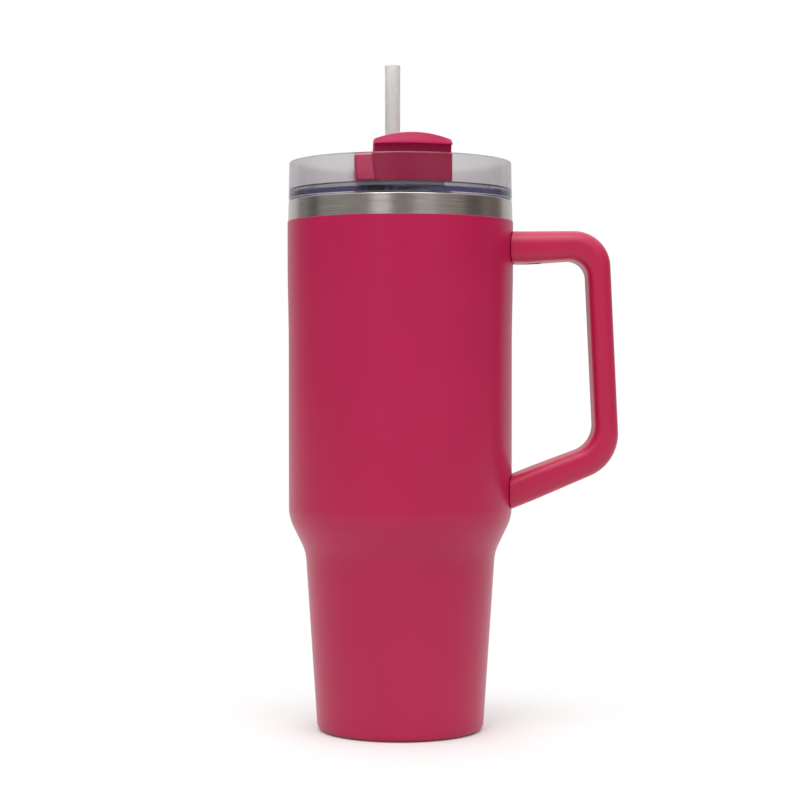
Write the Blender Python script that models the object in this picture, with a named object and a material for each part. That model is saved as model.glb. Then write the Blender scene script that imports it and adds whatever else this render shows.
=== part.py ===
"""Insulated tumbler with a carry handle, a clear lid, a rotating lid cover and a straw.

The origin is on the cup's axis, in the plane that it stands on.
+Z is up, +X points to the handle, and the lid's thumb tab faces -Y.
Sizes are in millimetres and degrees. new_object() turns them into metres.
"""
import math

import bmesh
import bpy
from mathutils import Matrix, Vector

MM = 0.001
GAP = 0.3               # clearance between pieces that touch on the real object
ROUND = 40              # sides of a large turned piece
SMALL_ROUND = 20        # sides of a small turned piece

# Cup: outer shape
BODY_R = 49.0           # straight upper wall
NECK_R = 49.5           # slight swell under the paint's upper edge
BARE_R = 49.25          # bare steel band at the paint's edge
RIM_Z = 231.4           # top of the steel
PAINT_Z = 223.3         # upper edge of the paint
SWELL_TOP_Z = 222.9
SWELL_LOW_Z = 205.0
SWELL_END_Z = 168.0
SHOULDER_Z = 93.4       # where the shoulder's slope would meet the upper wall
SHOULDER_ANGLE = 26.1   # slope of the shoulder, from vertical
SHOULDER_FILLET = 20.0
FOOT_R = 36.47          # the lower wall carried down to the base plane
TAPER = 3.76            # lean of the lower wall, from vertical
FOOT_FILLET = 3.2

# Cup: walls
SHELL = 0.8             # outer shell's sheet
LINER = 0.6             # inner liner's sheet
LINER_INSET = 3.4       # outer surface to the liner's outer face
LINER_R = 45.0          # bore of the upper part
LINER_FLOOR_Z = 7.1
LINER_CORNER = 6.0
MOUTH_R = 47.3          # widened mouth that takes the lid's step
MOUTH_Z = 228.9
NECK_Z = 224.4
FOOT_OPENING_R = 31.0   # opening in the shell's turned-in foot

# Lid
LID_LOW_R = 49.0
LID_TOP_R = 48.7
LID_Z = RIM_Z + 0.35
LID_TOP_Z = 248.8
LID_WALL_R = 46.3       # inside of the clear wall
TRACK_Z = 237.1         # top of the raised track round the lid's floor
TRACK_R = 40.6          # inside of the track
FLOOR_Z = 234.9         # top of the lid's floor
FLOOR_UNDER_Z = 231.9
SKIRT_R = 44.6
SKIRT_Z = 216.5
GROOVE_LOW_Z = 218.9    # groove for the gasket
GROOVE_HIGH_Z = 222.4
GROOVE_R = 43.0
SKIRT_WALL = 1.6

# Openings in the lid's floor, with angles in degrees
STRAW_HOLE_R = 6.2
SIP_OPENING = (29.0, 37.0, -102.0, -78.0)       # inner and outer radius, start and end angle
SIP_SEAL = (27.0, 39.5, -123.5, -70.5)
SEAL_POCKET = (26.6, 39.9, -124.5, -69.5)

# Rotating cover, in its own frame: its thumb tab faces -Y before it is turned
COVER_TURN = 7.8
COVER_R = 45.3
COVER_HALF = 16.5
WING_X = 23.6           # left edge of the wing beside the tab
WING_BACK_Y = -18.0
WING_TIP_Y = -34.0      # back of the wing at its outer end
COVER_LOW_Z = TRACK_Z + 0.6
COVER_TOP_Z = 249.0
TAB_CREST_Z = 257.8
TAB_CORNER_Z = 254.9
TAB_LIP_Z = 252.5
PIN_R = 4.2
PIN_HEAD_R = 7.0

# Straw
STRAW_PLACE_R = 28.7    # distance of the straw from the cup's axis
STRAW_ANGLE = 97.0      # its direction, from +X
STRAW_SIDES = 24
STRAW_R = 3.45
STRAW_BORE_R = 2.7
STRAW_TOP_Z = 295.8
STRAW_LOW_Z = 16.0

# Handle, seen from -Y: (x, z, corner radius)
HANDLE_OUTER = [(40.0, 218.0, 0), (91.2, 218.4, 16.0), (96.0, 117.1, 20.0), (40.0, 93.3, 0)]
HANDLE_INNER = [(40.0, 203.8, 0), (81.3, 206.4, 8.0), (85.1, 125.7, 12.0), (40.0, 108.7, 0)]
HANDLE_DEPTH = 27.0
HANDLE_EDGE = 4.0
HANDLE_CLEAR = 0.45     # gap between the arm ends and the cup

# Handle fixings: where each arm's centre line leaves the cup, its slope and half its thickness
UPPER_ARM = (49.5, 211.2, 0.0, 6.75)
LOWER_ARM = (49.0, 104.6, 21.9, 7.0)
SCREW_OUT = 9.0         # screw's distance from the cup along the arm
SCREW_R = 1.5
SCREW_HEAD_R = 3.3
SCREW_HEAD_Z = -4.0     # underside of the socket that the head bears on, in the arm's frame
PLUG_TOP_Z = -5.9
PLUG_PROUD = 0.1        # how far the plug stands out of the arm


def clear_scene():
    """Remove every object that the file starts with."""
    for item in list(bpy.data.objects):
        bpy.data.objects.remove(item, do_unlink=True)


def material(name, color, roughness, metallic=0.0, transmission=0.0):
    """Return a Principled material, made once."""
    found = bpy.data.materials.get(name)
    if found:
        return found
    made = bpy.data.materials.new(name)
    made.use_nodes = True
    shader = made.node_tree.nodes["Principled BSDF"]
    shader.inputs["Base Color"].default_value = (*color, 1.0)
    shader.inputs["Roughness"].default_value = roughness
    shader.inputs["Metallic"].default_value = metallic
    shader.inputs["Transmission Weight"].default_value = transmission
    return made


def powder_coat():
    return material("powder_coat", (0.45, 0.025, 0.085), 0.45)


def pink_plastic():
    return material("pink_plastic", (0.47, 0.025, 0.075), 0.4)


def steel():
    return material("steel", (0.55, 0.53, 0.5), 0.3, metallic=1.0)


def foil():
    return material("foil", (0.8, 0.45, 0.3), 0.2, metallic=1.0)


def getter_metal():
    return material("getter_metal", (0.3, 0.3, 0.32), 0.6, metallic=1.0)


def clear_plastic():
    return material("clear_plastic", (0.9, 0.9, 0.92), 0.05, transmission=1.0)


def straw_plastic():
    return material("straw_plastic", (0.75, 0.74, 0.73), 0.3, transmission=0.6)


def silicone():
    return material("silicone", (0.8, 0.8, 0.8), 0.6)


def dark_rubber():
    return material("dark_rubber", (0.16, 0.01, 0.03), 0.7)


def new_object(name, mesh, look):
    """Scale a bmesh to metres, close it up and link it as a named object."""
    bmesh.ops.scale(mesh, vec=(MM, MM, MM), verts=mesh.verts)
    bmesh.ops.recalc_face_normals(mesh, faces=mesh.faces)
    data = bpy.data.meshes.new(name)
    mesh.to_mesh(data)
    mesh.free()
    data.materials.append(look)
    data.shade_smooth()
    data.set_sharp_from_angle(angle=math.radians(35))
    made = bpy.data.objects.new(name, data)
    bpy.context.collection.objects.link(made)
    return made


def rounded(corners, steps):
    """Return the points of a line whose (x, y, radius) corners are rounded by arcs."""
    points = []
    for index, (x, y, radius) in enumerate(corners):
        here = Vector((x, y))
        if radius == 0:
            points.append(here)
            continue
        before = (Vector(corners[index - 1][:2]) - here).normalized()
        after = (Vector(corners[index + 1][:2]) - here).normalized()
        half = before.angle(after) / 2
        centre = here + (before + after).normalized() * radius / math.sin(half)
        start = here + before * radius / math.tan(half) - centre
        end = here + after * radius / math.tan(half) - centre
        turn = start.angle_signed(end)
        for step in range(steps + 1):
            points.append(centre + Matrix.Rotation(-turn * step / steps, 2) @ start)
    return [(point.x, point.y) for point in points]


def arc(radius, start, end, steps, centre=(0.0, 0.0)):
    """Return points on a circle from one angle to another, in degrees."""
    points = []
    for step in range(steps + 1):
        angle = math.radians(start + (end - start) * step / steps)
        points.append((centre[0] + radius * math.cos(angle), centre[1] + radius * math.sin(angle)))
    return points


def turned(profile, sides, centre=(0.0, 0.0)):
    """Turn an (r, z) outline about a vertical axis: a ring, or a solid if it starts on the axis."""
    mesh = bmesh.new()
    solid = profile[0][0] == 0
    rings = []
    for r, z in profile:
        if r == 0:
            rings.append([mesh.verts.new((centre[0], centre[1], z))] * sides)
            continue
        ring = []
        for x, y in arc(r, 0, 360, sides, centre)[:-1]:
            ring.append(mesh.verts.new((x, y, z)))
        rings.append(ring)
    pairs = list(zip(rings, rings[1:]))
    if not solid:
        pairs.append((rings[-1], rings[0]))
    for low, high in pairs:
        for side in range(sides):
            following = (side + 1) % sides
            loop = [low[side], low[following], high[following], high[side]]
            mesh.faces.new(list(dict.fromkeys(loop)))
    return mesh


def prism(outline, low, high):
    """Extrude a closed (x, y) outline between two heights."""
    mesh = bmesh.new()
    face = mesh.faces.new([mesh.verts.new((x, y, low)) for x, y in outline])
    top = bmesh.ops.extrude_face_region(mesh, geom=[face])
    moved = [item for item in top["geom"] if isinstance(item, bmesh.types.BMVert)]
    bmesh.ops.translate(mesh, vec=(0, 0, high - low), verts=moved)
    return mesh


def loft(sections):
    """Join equal closed sections into one solid with flat ends."""
    mesh = bmesh.new()
    rings = [[mesh.verts.new(point) for point in section] for section in sections]
    count = len(rings[0])
    for first, second in zip(rings, rings[1:]):
        for index in range(count):
            following = (index + 1) % count
            mesh.faces.new((first[index], first[following], second[following], second[index]))
    mesh.faces.new(rings[0])
    mesh.faces.new(rings[-1][::-1])
    return mesh


def block(low, high):
    """Return a box between two corners."""
    mesh = bmesh.new()
    bmesh.ops.create_cube(mesh, size=1.0)
    size = [b - a for a, b in zip(low, high)]
    middle = [(a + b) / 2 for a, b in zip(low, high)]
    bmesh.ops.scale(mesh, vec=size, verts=mesh.verts)
    bmesh.ops.translate(mesh, vec=middle, verts=mesh.verts)
    return mesh


def moved(mesh, matrix):
    """Move a bmesh and return it."""
    bmesh.ops.transform(mesh, matrix=matrix, verts=mesh.verts)
    return mesh


def combine(target, tool_name, mesh, operation="DIFFERENCE"):
    """Cut a shape from the target, or add one to it, with a hidden tool object."""
    tool = new_object(tool_name, mesh, target.data.materials[0])
    tool.hide_render = True
    tool.display_type = "WIRE"
    modifier = target.modifiers.new(tool_name, "BOOLEAN")
    modifier.operation = operation
    modifier.solver = "EXACT"
    modifier.object = tool


# Cup

def lower_wall_r(z, inset=0.0):
    """Radius of the lower wall at a height, set inwards by a distance."""
    lean = math.radians(TAPER)
    return FOOT_R + z * math.tan(lean) - inset / math.cos(lean)


def wall_corners(inset, top_r):
    """Return the knee and the shoulder of the wall, set inwards by a distance."""
    slope = math.radians(SHOULDER_ANGLE)
    lean = math.radians(TAPER)
    shift = BODY_R - inset / math.cos(slope)
    shoulder_z = SHOULDER_Z - (shift - top_r) / math.tan(slope)
    rise = math.tan(slope) - math.tan(lean)
    knee_z = (lower_wall_r(0, inset) - shift + SHOULDER_Z * math.tan(slope)) / rise
    knee = (lower_wall_r(knee_z, inset), knee_z, SHOULDER_FILLET)
    shoulder = (top_r, shoulder_z, SHOULDER_FILLET)
    return [knee, shoulder]


def outer_shell():
    """Painted steel shell, open at the foot, with a bare band at the mouth."""
    outside = [(FOOT_OPENING_R, 0, 0), (FOOT_R, 0, FOOT_FILLET)]
    outside += wall_corners(0, BODY_R)
    outside += [(BODY_R, SWELL_END_Z, 0), (NECK_R, SWELL_LOW_Z, 0), (NECK_R, SWELL_TOP_Z, 0)]
    outside += [(BARE_R, PAINT_Z, 0), (BODY_R, RIM_Z - 0.4, 0), (BODY_R - 0.2, RIM_Z, 0)]
    inner_r = BODY_R - SHELL
    inside = [(FOOT_OPENING_R, SHELL, 0), (lower_wall_r(SHELL, SHELL), SHELL, FOOT_FILLET - SHELL)]
    inside += wall_corners(SHELL, inner_r)
    inside += [(inner_r, SWELL_END_Z, 0), (NECK_R - SHELL, SWELL_LOW_Z, 0)]
    inside += [(NECK_R - SHELL, SWELL_TOP_Z - 1.0, 0), (inner_r, RIM_Z - 4.0, 0), (inner_r, RIM_Z, 0)]
    profile = rounded(outside, 3) + rounded(inside, 3)[::-1]
    return new_object("outer_shell", turned(profile, ROUND), powder_coat())


def inner_liner():
    """Steel liner that holds the drink."""
    floor_z = LINER_FLOOR_Z
    inset = LINER_INSET + LINER
    inside = [(0, floor_z, 0), (lower_wall_r(floor_z, inset), floor_z, LINER_CORNER)]
    inside += wall_corners(inset, LINER_R)
    inside += [(LINER_R, NECK_Z, 0), (MOUTH_R, MOUTH_Z, 0), (MOUTH_R, RIM_Z, 0)]
    under_z = floor_z - LINER
    outside = [(0, under_z, 0), (lower_wall_r(under_z, LINER_INSET), under_z, LINER_CORNER + LINER)]
    outside += wall_corners(LINER_INSET, LINER_R + LINER)
    outside += [(LINER_R + LINER, NECK_Z - 0.3, 0), (MOUTH_R + LINER, MOUTH_Z - 0.3, 0)]
    outside += [(MOUTH_R + LINER, RIM_Z, 0)]
    profile = rounded(inside, 3) + rounded(outside, 3)[::-1]
    return new_object("inner_liner", turned(profile, ROUND), steel())


def liner_foil():
    """Thin copper foil wrapped round the straight part of the liner."""
    inner_r = LINER_R + LINER + GAP
    outer_r = inner_r + 0.25
    low, high = SHOULDER_Z + 10, SWELL_LOW_Z + 8
    profile = [(inner_r, low), (outer_r, low), (outer_r, high), (inner_r, high)]
    return new_object("liner_foil", turned(profile, ROUND), foil())


def outer_base():
    """Pressed steel disc that closes the shell's foot, with a dimple for the vacuum seal."""
    low = SHELL + GAP
    dimple_z = low + 1.5
    hole_r = 0.9
    dimple_r, dimple_edge_r = 4.6, 6.4
    rim_r = FOOT_OPENING_R + 2.0
    under = [(hole_r, dimple_z), (dimple_r, dimple_z), (dimple_edge_r, low), (rim_r, low)]
    over = [(rim_r, low + SHELL), (dimple_edge_r - GAP, low + SHELL)]
    over += [(dimple_r - GAP, dimple_z + SHELL), (hole_r, dimple_z + SHELL)]
    return new_object("outer_base", turned(under + over, ROUND), steel())


def vacuum_seal():
    """Bead that closes the evacuation hole."""
    low = SHELL + GAP
    radius, edge_r = 3.8, 3.3
    profile = [(0, low), (edge_r, low), (radius, low + 0.4), (edge_r, low + 1.2), (0, low + 1.2)]
    return new_object("vacuum_seal", turned(profile, SMALL_ROUND), getter_metal())


def base_cap():
    """Flat steel disc that covers the underside, flush with the foot."""
    radius = FOOT_OPENING_R - GAP
    profile = [(0, 0), (radius - 0.3, 0), (radius, 0.3), (radius, SHELL), (0, SHELL)]
    return new_object("base_cap", turned(profile, ROUND), steel())


def getter():
    """Getter button that holds the vacuum, on the base inside the gap."""
    low = 2 * SHELL + 2 * GAP
    top = low + 1.8
    radius, bevel = 4.5, 0.4
    profile = [(0, low), (radius, low), (radius, top - bevel), (radius - bevel, top), (0, top)]
    return new_object("getter", turned(profile, SMALL_ROUND, (16.0, 0.0)), getter_metal())


# Handle

def section(outer, inner):
    """Rounded-rectangle section of the handle between two points of its side outline."""
    outer, inner = Vector((outer[0], 0, outer[1])), Vector((inner[0], 0, inner[1]))
    across = outer - inner
    half = across.length / 2
    middle = (outer + inner) / 2
    direction = across.normalized()
    side = HANDLE_DEPTH / 2 - HANDLE_EDGE
    points = []
    for quarter, (u, v) in enumerate([(1, 1), (-1, 1), (-1, -1), (1, -1)]):
        centre = (u * (half - HANDLE_EDGE), v * side)
        for a, b in arc(HANDLE_EDGE, 90 * quarter, 90 * quarter + 90, 3, centre):
            points.append(middle + direction * a + Vector((0, b, 0)))
    return points


def cup_clearance(extra):
    """Tool that clears the arm ends from the cup's wall."""
    upper = NECK_R + extra
    lower = BODY_R + extra
    profile = [(0, 70), (lower, 70), (lower, 150), (upper, 190), (upper, 226), (0, 226)]
    return turned(profile, ROUND)


def arm_frame(arm):
    """Return the matrix of an arm's frame: X out along the arm, Z up across it."""
    x, z, slope, _ = arm
    return Matrix.Translation((x, 0, z)) @ Matrix.Rotation(math.radians(-slope), 4, "Y")


def handle():
    """Moulded handle with a socket for a bracket and a screw hole in each arm."""
    outer = rounded(HANDLE_OUTER, 7)
    inner = rounded(HANDLE_INNER, 7)
    sections = [section(a, b) for a, b in zip(outer, inner)]
    made = new_object("handle", loft(sections), pink_plastic())
    combine(made, "cut_handle_cup", cup_clearance(HANDLE_CLEAR))
    for label, arm in (("upper", UPPER_ARM), ("lower", LOWER_ARM)):
        frame = arm_frame(arm)
        socket = block((-8, -9.0, -2.5), (15.0, 9.0, 4.7))
        combine(made, f"cut_{label}_socket", moved(socket, frame))
        low, seat_z, top = -arm[3] - 3, SCREW_HEAD_Z + GAP, -1.5
        head_r, shank_r = SCREW_HEAD_R + GAP, SCREW_R + 0.4
        bore = [(0, low), (head_r, low), (head_r, seat_z), (shank_r, seat_z), (shank_r, top), (0, top)]
        bore = turned(bore, SMALL_ROUND, (SCREW_OUT, 0.0))
        combine(made, f"cut_{label}_screw_hole", moved(bore, frame))
    return made


def handle_bracket(name, arm):
    """Steel bracket welded to the shell: a plate on the wall and a tongue in the arm."""
    frame = arm_frame(arm)
    made = new_object(name, moved(block((-6, -8.6, -2.2), (2.2, 8.6, 4.4)), frame), steel())
    tongue = moved(block((0, -5, -2.0), (14.0, 5, 4.2)), frame)
    combine(made, f"add_{name}_tongue", tongue, "UNION")
    combine(made, f"cut_{name}_cup", cup_clearance(GAP))
    hole_r = SCREW_R + GAP
    thread = turned([(0, -4), (hole_r, -4), (hole_r, 3.0), (0, 3.0)], SMALL_ROUND, (SCREW_OUT, 0.0))
    combine(made, f"cut_{name}_thread", moved(thread, frame))
    return made


def handle_screw(name, arm):
    """Pan-head screw that holds one arm of the handle to its bracket."""
    low, top, bevel = SCREW_HEAD_Z - 1.6, 2.7, 0.4
    profile = [(0, low), (SCREW_HEAD_R - bevel, low), (SCREW_HEAD_R, low + bevel)]
    profile += [(SCREW_HEAD_R, SCREW_HEAD_Z), (SCREW_R, SCREW_HEAD_Z)]
    profile += [(SCREW_R, top - bevel), (SCREW_R - bevel, top), (0, top)]
    mesh = moved(turned(profile, SMALL_ROUND, (SCREW_OUT, 0.0)), arm_frame(arm))
    return new_object(name, mesh, steel())


def screw_plug(name, arm):
    """Soft plug that hides a screw, a little proud of the arm's underside."""
    low = -arm[3] - PLUG_PROUD
    radius = SCREW_HEAD_R
    profile = [(0, low), (radius - 0.6, low), (radius, low + 0.4), (radius, PLUG_TOP_Z), (0, PLUG_TOP_Z)]
    mesh = moved(turned(profile, SMALL_ROUND, (SCREW_OUT, 0.0)), arm_frame(arm))
    return new_object(name, mesh, dark_rubber())


# Lid

def straw_place():
    """Where the straw stands."""
    return arc(STRAW_PLACE_R, STRAW_ANGLE, STRAW_ANGLE, 1)[0]


def cover_frame():
    return Matrix.Rotation(math.radians(COVER_TURN), 4, "Z")


def straw_frame():
    """Frame of the straw slot, which has the straw at 90 degrees."""
    return Matrix.Rotation(math.radians(STRAW_ANGLE - 90), 4, "Z")


def sector(limits, steps):
    """Outline of a ring sector between two radii and two angles."""
    inner_r, outer_r, start, end = limits
    return arc(outer_r, start, end, steps) + arc(inner_r, end, start, steps)


def lid_body():
    """Clear lid: floor with a raised track, wall, step on the rim and skirt with a gasket groove."""
    hub_r, step_r, inner_r = PIN_R + GAP, MOUTH_R - 0.4, GROOVE_R - SKIRT_WALL
    profile = [(hub_r, FLOOR_Z), (TRACK_R, FLOOR_Z), (TRACK_R + 0.5, TRACK_Z)]
    profile += [(LID_WALL_R - 0.8, TRACK_Z), (LID_WALL_R, TRACK_Z + 0.8)]
    profile += [(LID_WALL_R, LID_TOP_Z - 0.5), (LID_WALL_R + 0.5, LID_TOP_Z)]
    profile += [(LID_TOP_R - 0.5, LID_TOP_Z), (LID_TOP_R, LID_TOP_Z - 0.6), (LID_LOW_R, LID_Z)]
    profile += [(step_r, LID_Z), (step_r, MOUTH_Z + GAP), (SKIRT_R, NECK_Z + 0.4)]
    profile += [(SKIRT_R, GROOVE_HIGH_Z), (GROOVE_R, GROOVE_HIGH_Z), (GROOVE_R, GROOVE_LOW_Z)]
    profile += [(SKIRT_R, GROOVE_LOW_Z), (SKIRT_R, SKIRT_Z), (inner_r, SKIRT_Z), (inner_r, NECK_Z - 0.4)]
    profile += [(SKIRT_R - 0.6, MOUTH_Z), (SKIRT_R - 0.6, FLOOR_UNDER_Z), (hub_r, FLOOR_UNDER_Z)]
    made = new_object("lid_body", turned(profile, ROUND), clear_plastic())
    low, high = FLOOR_UNDER_Z - 4, FLOOR_Z + 4
    hole = [(0, low), (STRAW_HOLE_R, low), (STRAW_HOLE_R, high), (0, high)]
    combine(made, "cut_straw_hole", turned(hole, STRAW_SIDES, straw_place()))
    sip = prism(sector(SIP_OPENING, 6), low, high)
    combine(made, "cut_sip_opening", moved(sip, cover_frame()))
    return made


def lid_gasket():
    """Silicone ring in the skirt's groove."""
    low, high = GROOVE_LOW_Z + GAP, GROOVE_HIGH_Z - GAP
    inner_r, lip_r = GROOVE_R + GAP, SKIRT_R + 0.1
    profile = [(inner_r, low), (SKIRT_R - GAP, low), (lip_r, (low + high) / 2)]
    profile += [(SKIRT_R - GAP, high), (inner_r, high)]
    return new_object("lid_gasket", turned(profile, ROUND), silicone())


def straw_grommet():
    """Silicone grommet that seals the straw in the lid."""
    bore, neck = STRAW_R + GAP, STRAW_HOLE_R - GAP
    flange = neck + 1.7
    low = FLOOR_UNDER_Z - GAP
    profile = [(bore, low - 1.6), (flange, low - 1.6), (flange, low), (neck, low)]
    profile += [(neck, FLOOR_Z), (bore + 0.8, FLOOR_Z), (bore, FLOOR_Z - 0.8)]
    return new_object("straw_grommet", turned(profile, STRAW_SIDES, straw_place()), silicone())


def straw():
    """Straight straw with a slightly flared top."""
    flare, flare_z = 0.1, STRAW_TOP_Z - 5
    profile = [(STRAW_R, STRAW_LOW_Z), (STRAW_R, flare_z), (STRAW_R + flare, STRAW_TOP_Z)]
    profile += [(STRAW_BORE_R + flare, STRAW_TOP_Z), (STRAW_BORE_R, flare_z)]
    profile += [(STRAW_BORE_R, STRAW_LOW_Z)]
    return new_object("straw", turned(profile, STRAW_SIDES, straw_place()), straw_plastic())


# Rotating cover

def cover_outline():
    """Plan of the cover: a bar across the lid with a wing on the left of the tab."""
    side = math.degrees(math.asin(COVER_HALF / COVER_R))
    wing = math.degrees(math.asin(WING_X / COVER_R))
    outline = arc(COVER_R, 90 - side, 90 + side, 8)
    outline += [(-COVER_HALF, WING_BACK_Y), (-WING_X, WING_TIP_Y)]
    outline += arc(COVER_R, 270 - wing, 270 + side, 12)
    return outline


def straw_slot():
    """Curved slot that lets the cover turn with the straw in place."""
    half = STRAW_R + 0.9
    start, finish = 92, 160
    end = arc(half, -90, 90, 6, (0.0, STRAW_PLACE_R))
    outer = arc(STRAW_PLACE_R + half, start, finish, 12)
    inner = arc(STRAW_PLACE_R - half, finish, start, 12)
    return prism(end + outer + inner, COVER_LOW_Z - 4, TAB_CREST_Z)


def tab_section(x):
    """Section of the thumb tab across the lid, at a distance from its middle."""
    crest = TAB_CREST_Z - (TAB_CREST_Z - TAB_CORNER_Z) * (x / COVER_HALF) ** 2
    front = -math.sqrt(COVER_R ** 2 - x ** 2)
    low = COVER_TOP_Z - 2
    outline = [(front + 0.6, low), (front + 0.6, TAB_LIP_Z - 0.8)]
    outline += [(front, TAB_LIP_Z), (front + 0.1, TAB_LIP_Z + 0.6)]
    outline += [(front + 2.2, crest - 0.6), (front + 3.6, crest), (front + 5.4, crest - 0.4)]
    outline += [(-35.0, COVER_TOP_Z + 1.2), (-31.0, COVER_TOP_Z + 0.1), (-29.0, low)]
    return [(x, y, z) for y, z in outline]


def rotating_cover():
    """Cover that turns on the lid's track, with its tab, straw slot, pin hole and seal pocket."""
    base = moved(prism(cover_outline(), COVER_LOW_Z, COVER_TOP_Z), cover_frame())
    made = new_object("rotating_cover", base, pink_plastic())
    stations = [COVER_HALF * (index / 5 - 1) for index in range(11)]
    tab = loft([tab_section(x * 0.998) for x in stations])
    combine(made, "add_tab", moved(tab, cover_frame()), "UNION")
    combine(made, "cut_straw_slot", moved(straw_slot(), straw_frame()))
    low, top, bore_r = COVER_LOW_Z - 2, COVER_TOP_Z - 2.6, PIN_R + GAP
    pin_hole = [(0, low), (bore_r, low), (bore_r, top), (0, top)]
    combine(made, "cut_pin_hole", turned(pin_hole, 24))
    pocket = prism(sector(SEAL_POCKET, 10), low, COVER_LOW_Z + 3.2)
    combine(made, "cut_seal_pocket", moved(pocket, cover_frame()))
    return made


def sip_seal():
    """Silicone pad under the cover that closes the sip opening."""
    mesh = moved(prism(sector(SIP_SEAL, 10), FLOOR_Z + GAP, COVER_LOW_Z + 2.9), cover_frame())
    return new_object("sip_seal", mesh, silicone())


def cover_pivot_pin():
    """Headed pin that comes up through the lid's floor into the cover."""
    head_top, top, bevel = FLOOR_UNDER_Z - GAP, COVER_TOP_Z - 3.0, 0.4
    low = head_top - 2
    profile = [(0, low), (PIN_HEAD_R - bevel, low), (PIN_HEAD_R, low + bevel), (PIN_HEAD_R, head_top)]
    profile += [(PIN_R, head_top), (PIN_R, top - bevel), (PIN_R - bevel, top), (0, top)]
    return new_object("cover_pivot_pin", turned(profile, 24), steel())


def pivot_oring():
    """O-ring round the pin, between the lid's floor and the cover."""
    radius = (COVER_LOW_Z - FLOOR_Z) / 2 - GAP
    centre = (PIN_R + GAP + 0.5 + radius, FLOOR_Z + GAP + radius)
    profile = arc(radius, 0, 360, 8, centre)[:-1]
    return new_object("pivot_oring", turned(profile, 24), silicone())


def main():
    clear_scene()
    outer_shell()
    inner_liner()
    liner_foil()
    outer_base()
    vacuum_seal()
    base_cap()
    getter()
    handle()
    handle_bracket("upper_handle_bracket", UPPER_ARM)
    handle_bracket("lower_handle_bracket", LOWER_ARM)
    handle_screw("upper_handle_screw", UPPER_ARM)
    handle_screw("lower_handle_screw", LOWER_ARM)
    screw_plug("upper_screw_plug", UPPER_ARM)
    screw_plug("lower_screw_plug", LOWER_ARM)
    lid_body()
    lid_gasket()
    straw_grommet()
    straw()
    rotating_cover()
    sip_seal()
    cover_pivot_pin()
    pivot_oring()


main()
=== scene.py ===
"""Looks of the insulated tumbler: fine meshes, materials, studio and camera around the CAD frame.

Shapes are worked out in millimetres, and new_piece() and combine() turn them into metres.
The frame's boxes give the main sizes. The constants below are the details that a box doesn't tell.
"""
import math
from collections import namedtuple

import bmesh
import bpy
from mathutils import Matrix, Vector


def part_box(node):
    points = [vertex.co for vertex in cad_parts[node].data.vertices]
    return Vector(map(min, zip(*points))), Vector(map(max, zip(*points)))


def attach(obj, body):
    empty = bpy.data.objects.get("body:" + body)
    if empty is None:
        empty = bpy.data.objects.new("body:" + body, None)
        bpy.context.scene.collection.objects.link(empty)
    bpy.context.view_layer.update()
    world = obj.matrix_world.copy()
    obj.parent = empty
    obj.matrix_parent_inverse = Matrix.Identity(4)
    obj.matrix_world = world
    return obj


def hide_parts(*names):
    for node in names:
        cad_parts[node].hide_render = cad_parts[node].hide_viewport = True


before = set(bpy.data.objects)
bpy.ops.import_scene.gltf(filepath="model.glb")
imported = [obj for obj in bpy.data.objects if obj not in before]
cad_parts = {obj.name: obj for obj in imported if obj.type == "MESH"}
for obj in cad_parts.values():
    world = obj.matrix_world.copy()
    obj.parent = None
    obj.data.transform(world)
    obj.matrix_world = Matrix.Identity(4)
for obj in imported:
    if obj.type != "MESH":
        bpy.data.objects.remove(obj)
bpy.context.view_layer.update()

MM = 0.001


def box_mm(node):
    """Lowest and highest corner of a CAD node, in millimetres."""
    low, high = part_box(node)
    return low / MM, high / MM


_, SHELL_HIGH = box_mm("outer_shell")
_, CAP_HIGH = box_mm("base_cap")
LINER_LOW, _ = box_mm("inner_liner")
LID_LOW, LID_HIGH = box_mm("lid_body")
GASKET_LOW, GASKET_HIGH = box_mm("lid_gasket")
_, GROMMET_HIGH = box_mm("straw_grommet")
STRAW_LOW, STRAW_HIGH = box_mm("straw")
COVER_LOW, COVER_HIGH = box_mm("rotating_cover")
SEAL_LOW, SEAL_HIGH = box_mm("sip_seal")
PIN_LOW, PIN_HIGH = box_mm("cover_pivot_pin")
RING_LOW, RING_HIGH = box_mm("pivot_oring")

SIDES = 192             # sides of a large turned piece
SMALL_SIDES = 64        # sides of a small turned piece
ARC_STEPS = 12          # steps of a rounded corner of a profile
FLATNESS = 90           # how far large flat faces keep their own normals beside fillets
SHARP_ANGLE = math.radians(38)
GAP = 0.3               # clearance between pieces

# Cup
NECK_R = SHELL_HIGH.x
RIM_Z = SHELL_HIGH.z + 0.35
SWELL = 0.5             # how far the neck stands out from the straight wall
BODY_R = NECK_R - SWELL
BARE_R = NECK_R - 0.25  # bare steel at the paint's edge
PAINT_Z = RIM_Z - 8.8   # the paint's upper edge
SWELL_LOW_Z = RIM_Z - 26.75     # the neck has its full radius above this
SWELL_END_Z = RIM_Z - 63.75     # the wall is straight below this
SWELL_STEPS = 16
SHOULDER_Z = 93.4       # where the shoulder's slope meets the straight wall
SHOULDER_ANGLE = 26.1   # degrees from upright
SHOULDER_FILLET = 20.0
FOOT_R = 36.47
TAPER = 3.76            # lean of the lower wall, in degrees
FOOT_FILLET = 3.2
PAINT = 0.18            # thickness of the powder coat
SHELL = 0.8             # thickness of the outer shell
LINER = 0.6             # thickness of the liner
LINER_INSET = 3.4       # from the cup's outside to the liner's outside
LINER_R = 45.0          # inside radius of the liner's wall
MOUTH_R = 47.3          # inside radius of the wider mouth
MOUTH_Z = 228.9         # where the mouth starts
NECK_Z = 224.4          # where the liner's wall starts to widen
FOOT_OPENING_R = CAP_HIGH.x + GAP
# Pressed ring on the underside: (r, z, corner radius)
CAP_GROOVE = [(22.0, 0, 0.3), (22.4, 0.25, 0.3), (23.2, 0.25, 0.3), (23.6, 0, 0.3)]

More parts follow.
